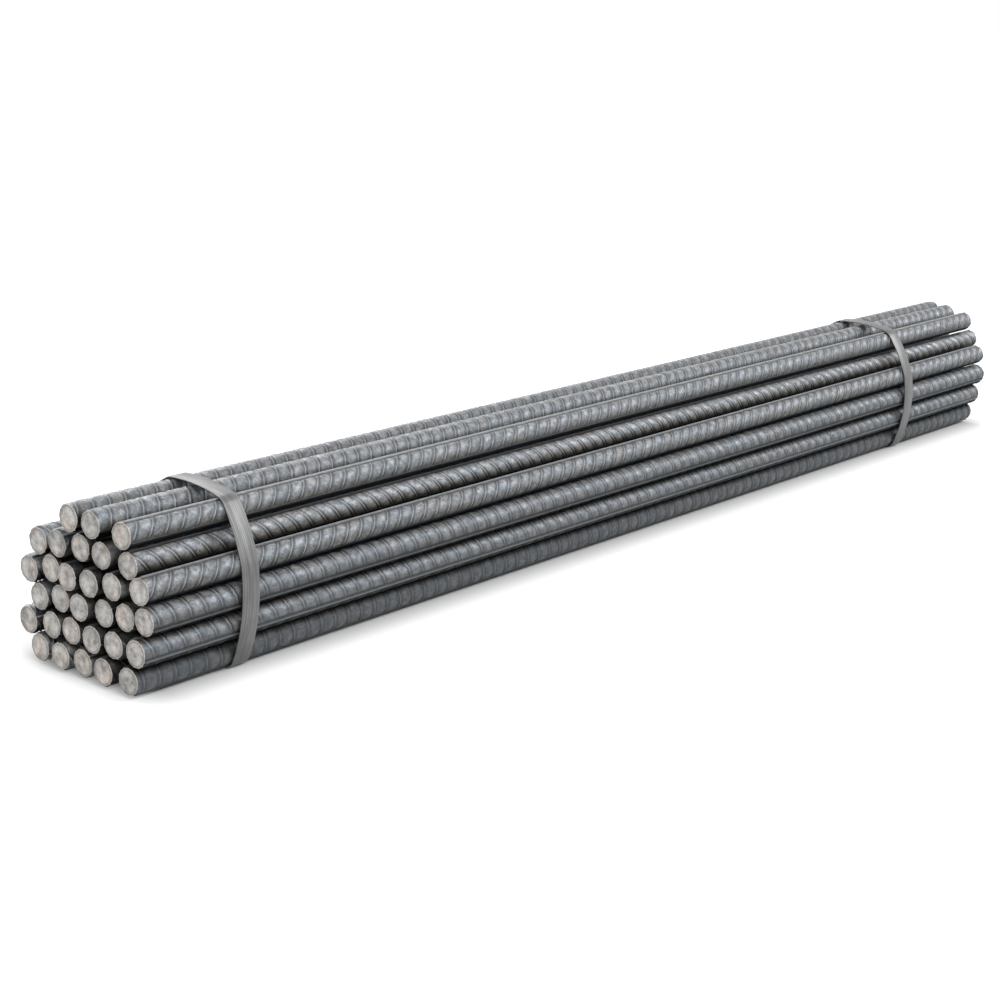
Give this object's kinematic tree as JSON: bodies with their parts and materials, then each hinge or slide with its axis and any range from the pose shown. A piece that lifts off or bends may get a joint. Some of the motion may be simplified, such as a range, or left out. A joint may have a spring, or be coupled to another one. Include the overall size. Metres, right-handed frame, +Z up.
{
  "type": "rebar bundle",
  "caption": "Stack of straight ribbed steel reinforcing bars held together by two flat steel straps, lying flat.",
  "frame": {"origin": "on the floor, under the middle of the bundle's bounding box", "axes": "+X along the bars, towards the end whose strap lies further in; +Y across the bundle, towards the side with the straps' laps; +Z up"},
  "size_m": [1.228, 0.1644, 0.1322],
  "materials": {
    "bar_steel": "hot-rolled steel with a thin blue-grey mill scale, a little brown rust, and sawn grey ends",
    "strap_steel": "cold-rolled steel strapping, satin grey with fine lengthwise streaks"
  },
  "bodies": {
    "root": {"bar_01": "bar_steel", "bar_02": "bar_steel", "bar_03": "bar_steel", "bar_04": "bar_steel", "bar_05": "bar_steel", "bar_06": "bar_steel", "bar_07": "bar_steel", "bar_08": "bar_steel", "bar_09": "bar_steel", "bar_10": "bar_steel", "bar_11": "bar_steel", "bar_12": "bar_steel", "bar_13": "bar_steel", "bar_14": "bar_steel", "bar_15": "bar_steel", "bar_16": "bar_steel", "bar_17": "bar_steel", "bar_18": "bar_steel", "bar_19": "bar_steel", "bar_20": "bar_steel", "bar_21": "bar_steel", "bar_22": "bar_steel", "bar_23": "bar_steel", "bar_24": "bar_steel", "bar_25": "bar_steel", "bar_26": "bar_steel", "bar_27": "bar_steel", "bar_28": "bar_steel", "bar_29": "bar_steel", "bar_30": "bar_steel", "bar_31": "bar_steel", "strap_left": "strap_steel", "strap_right": "strap_steel"}
  },
  "joints": []
}
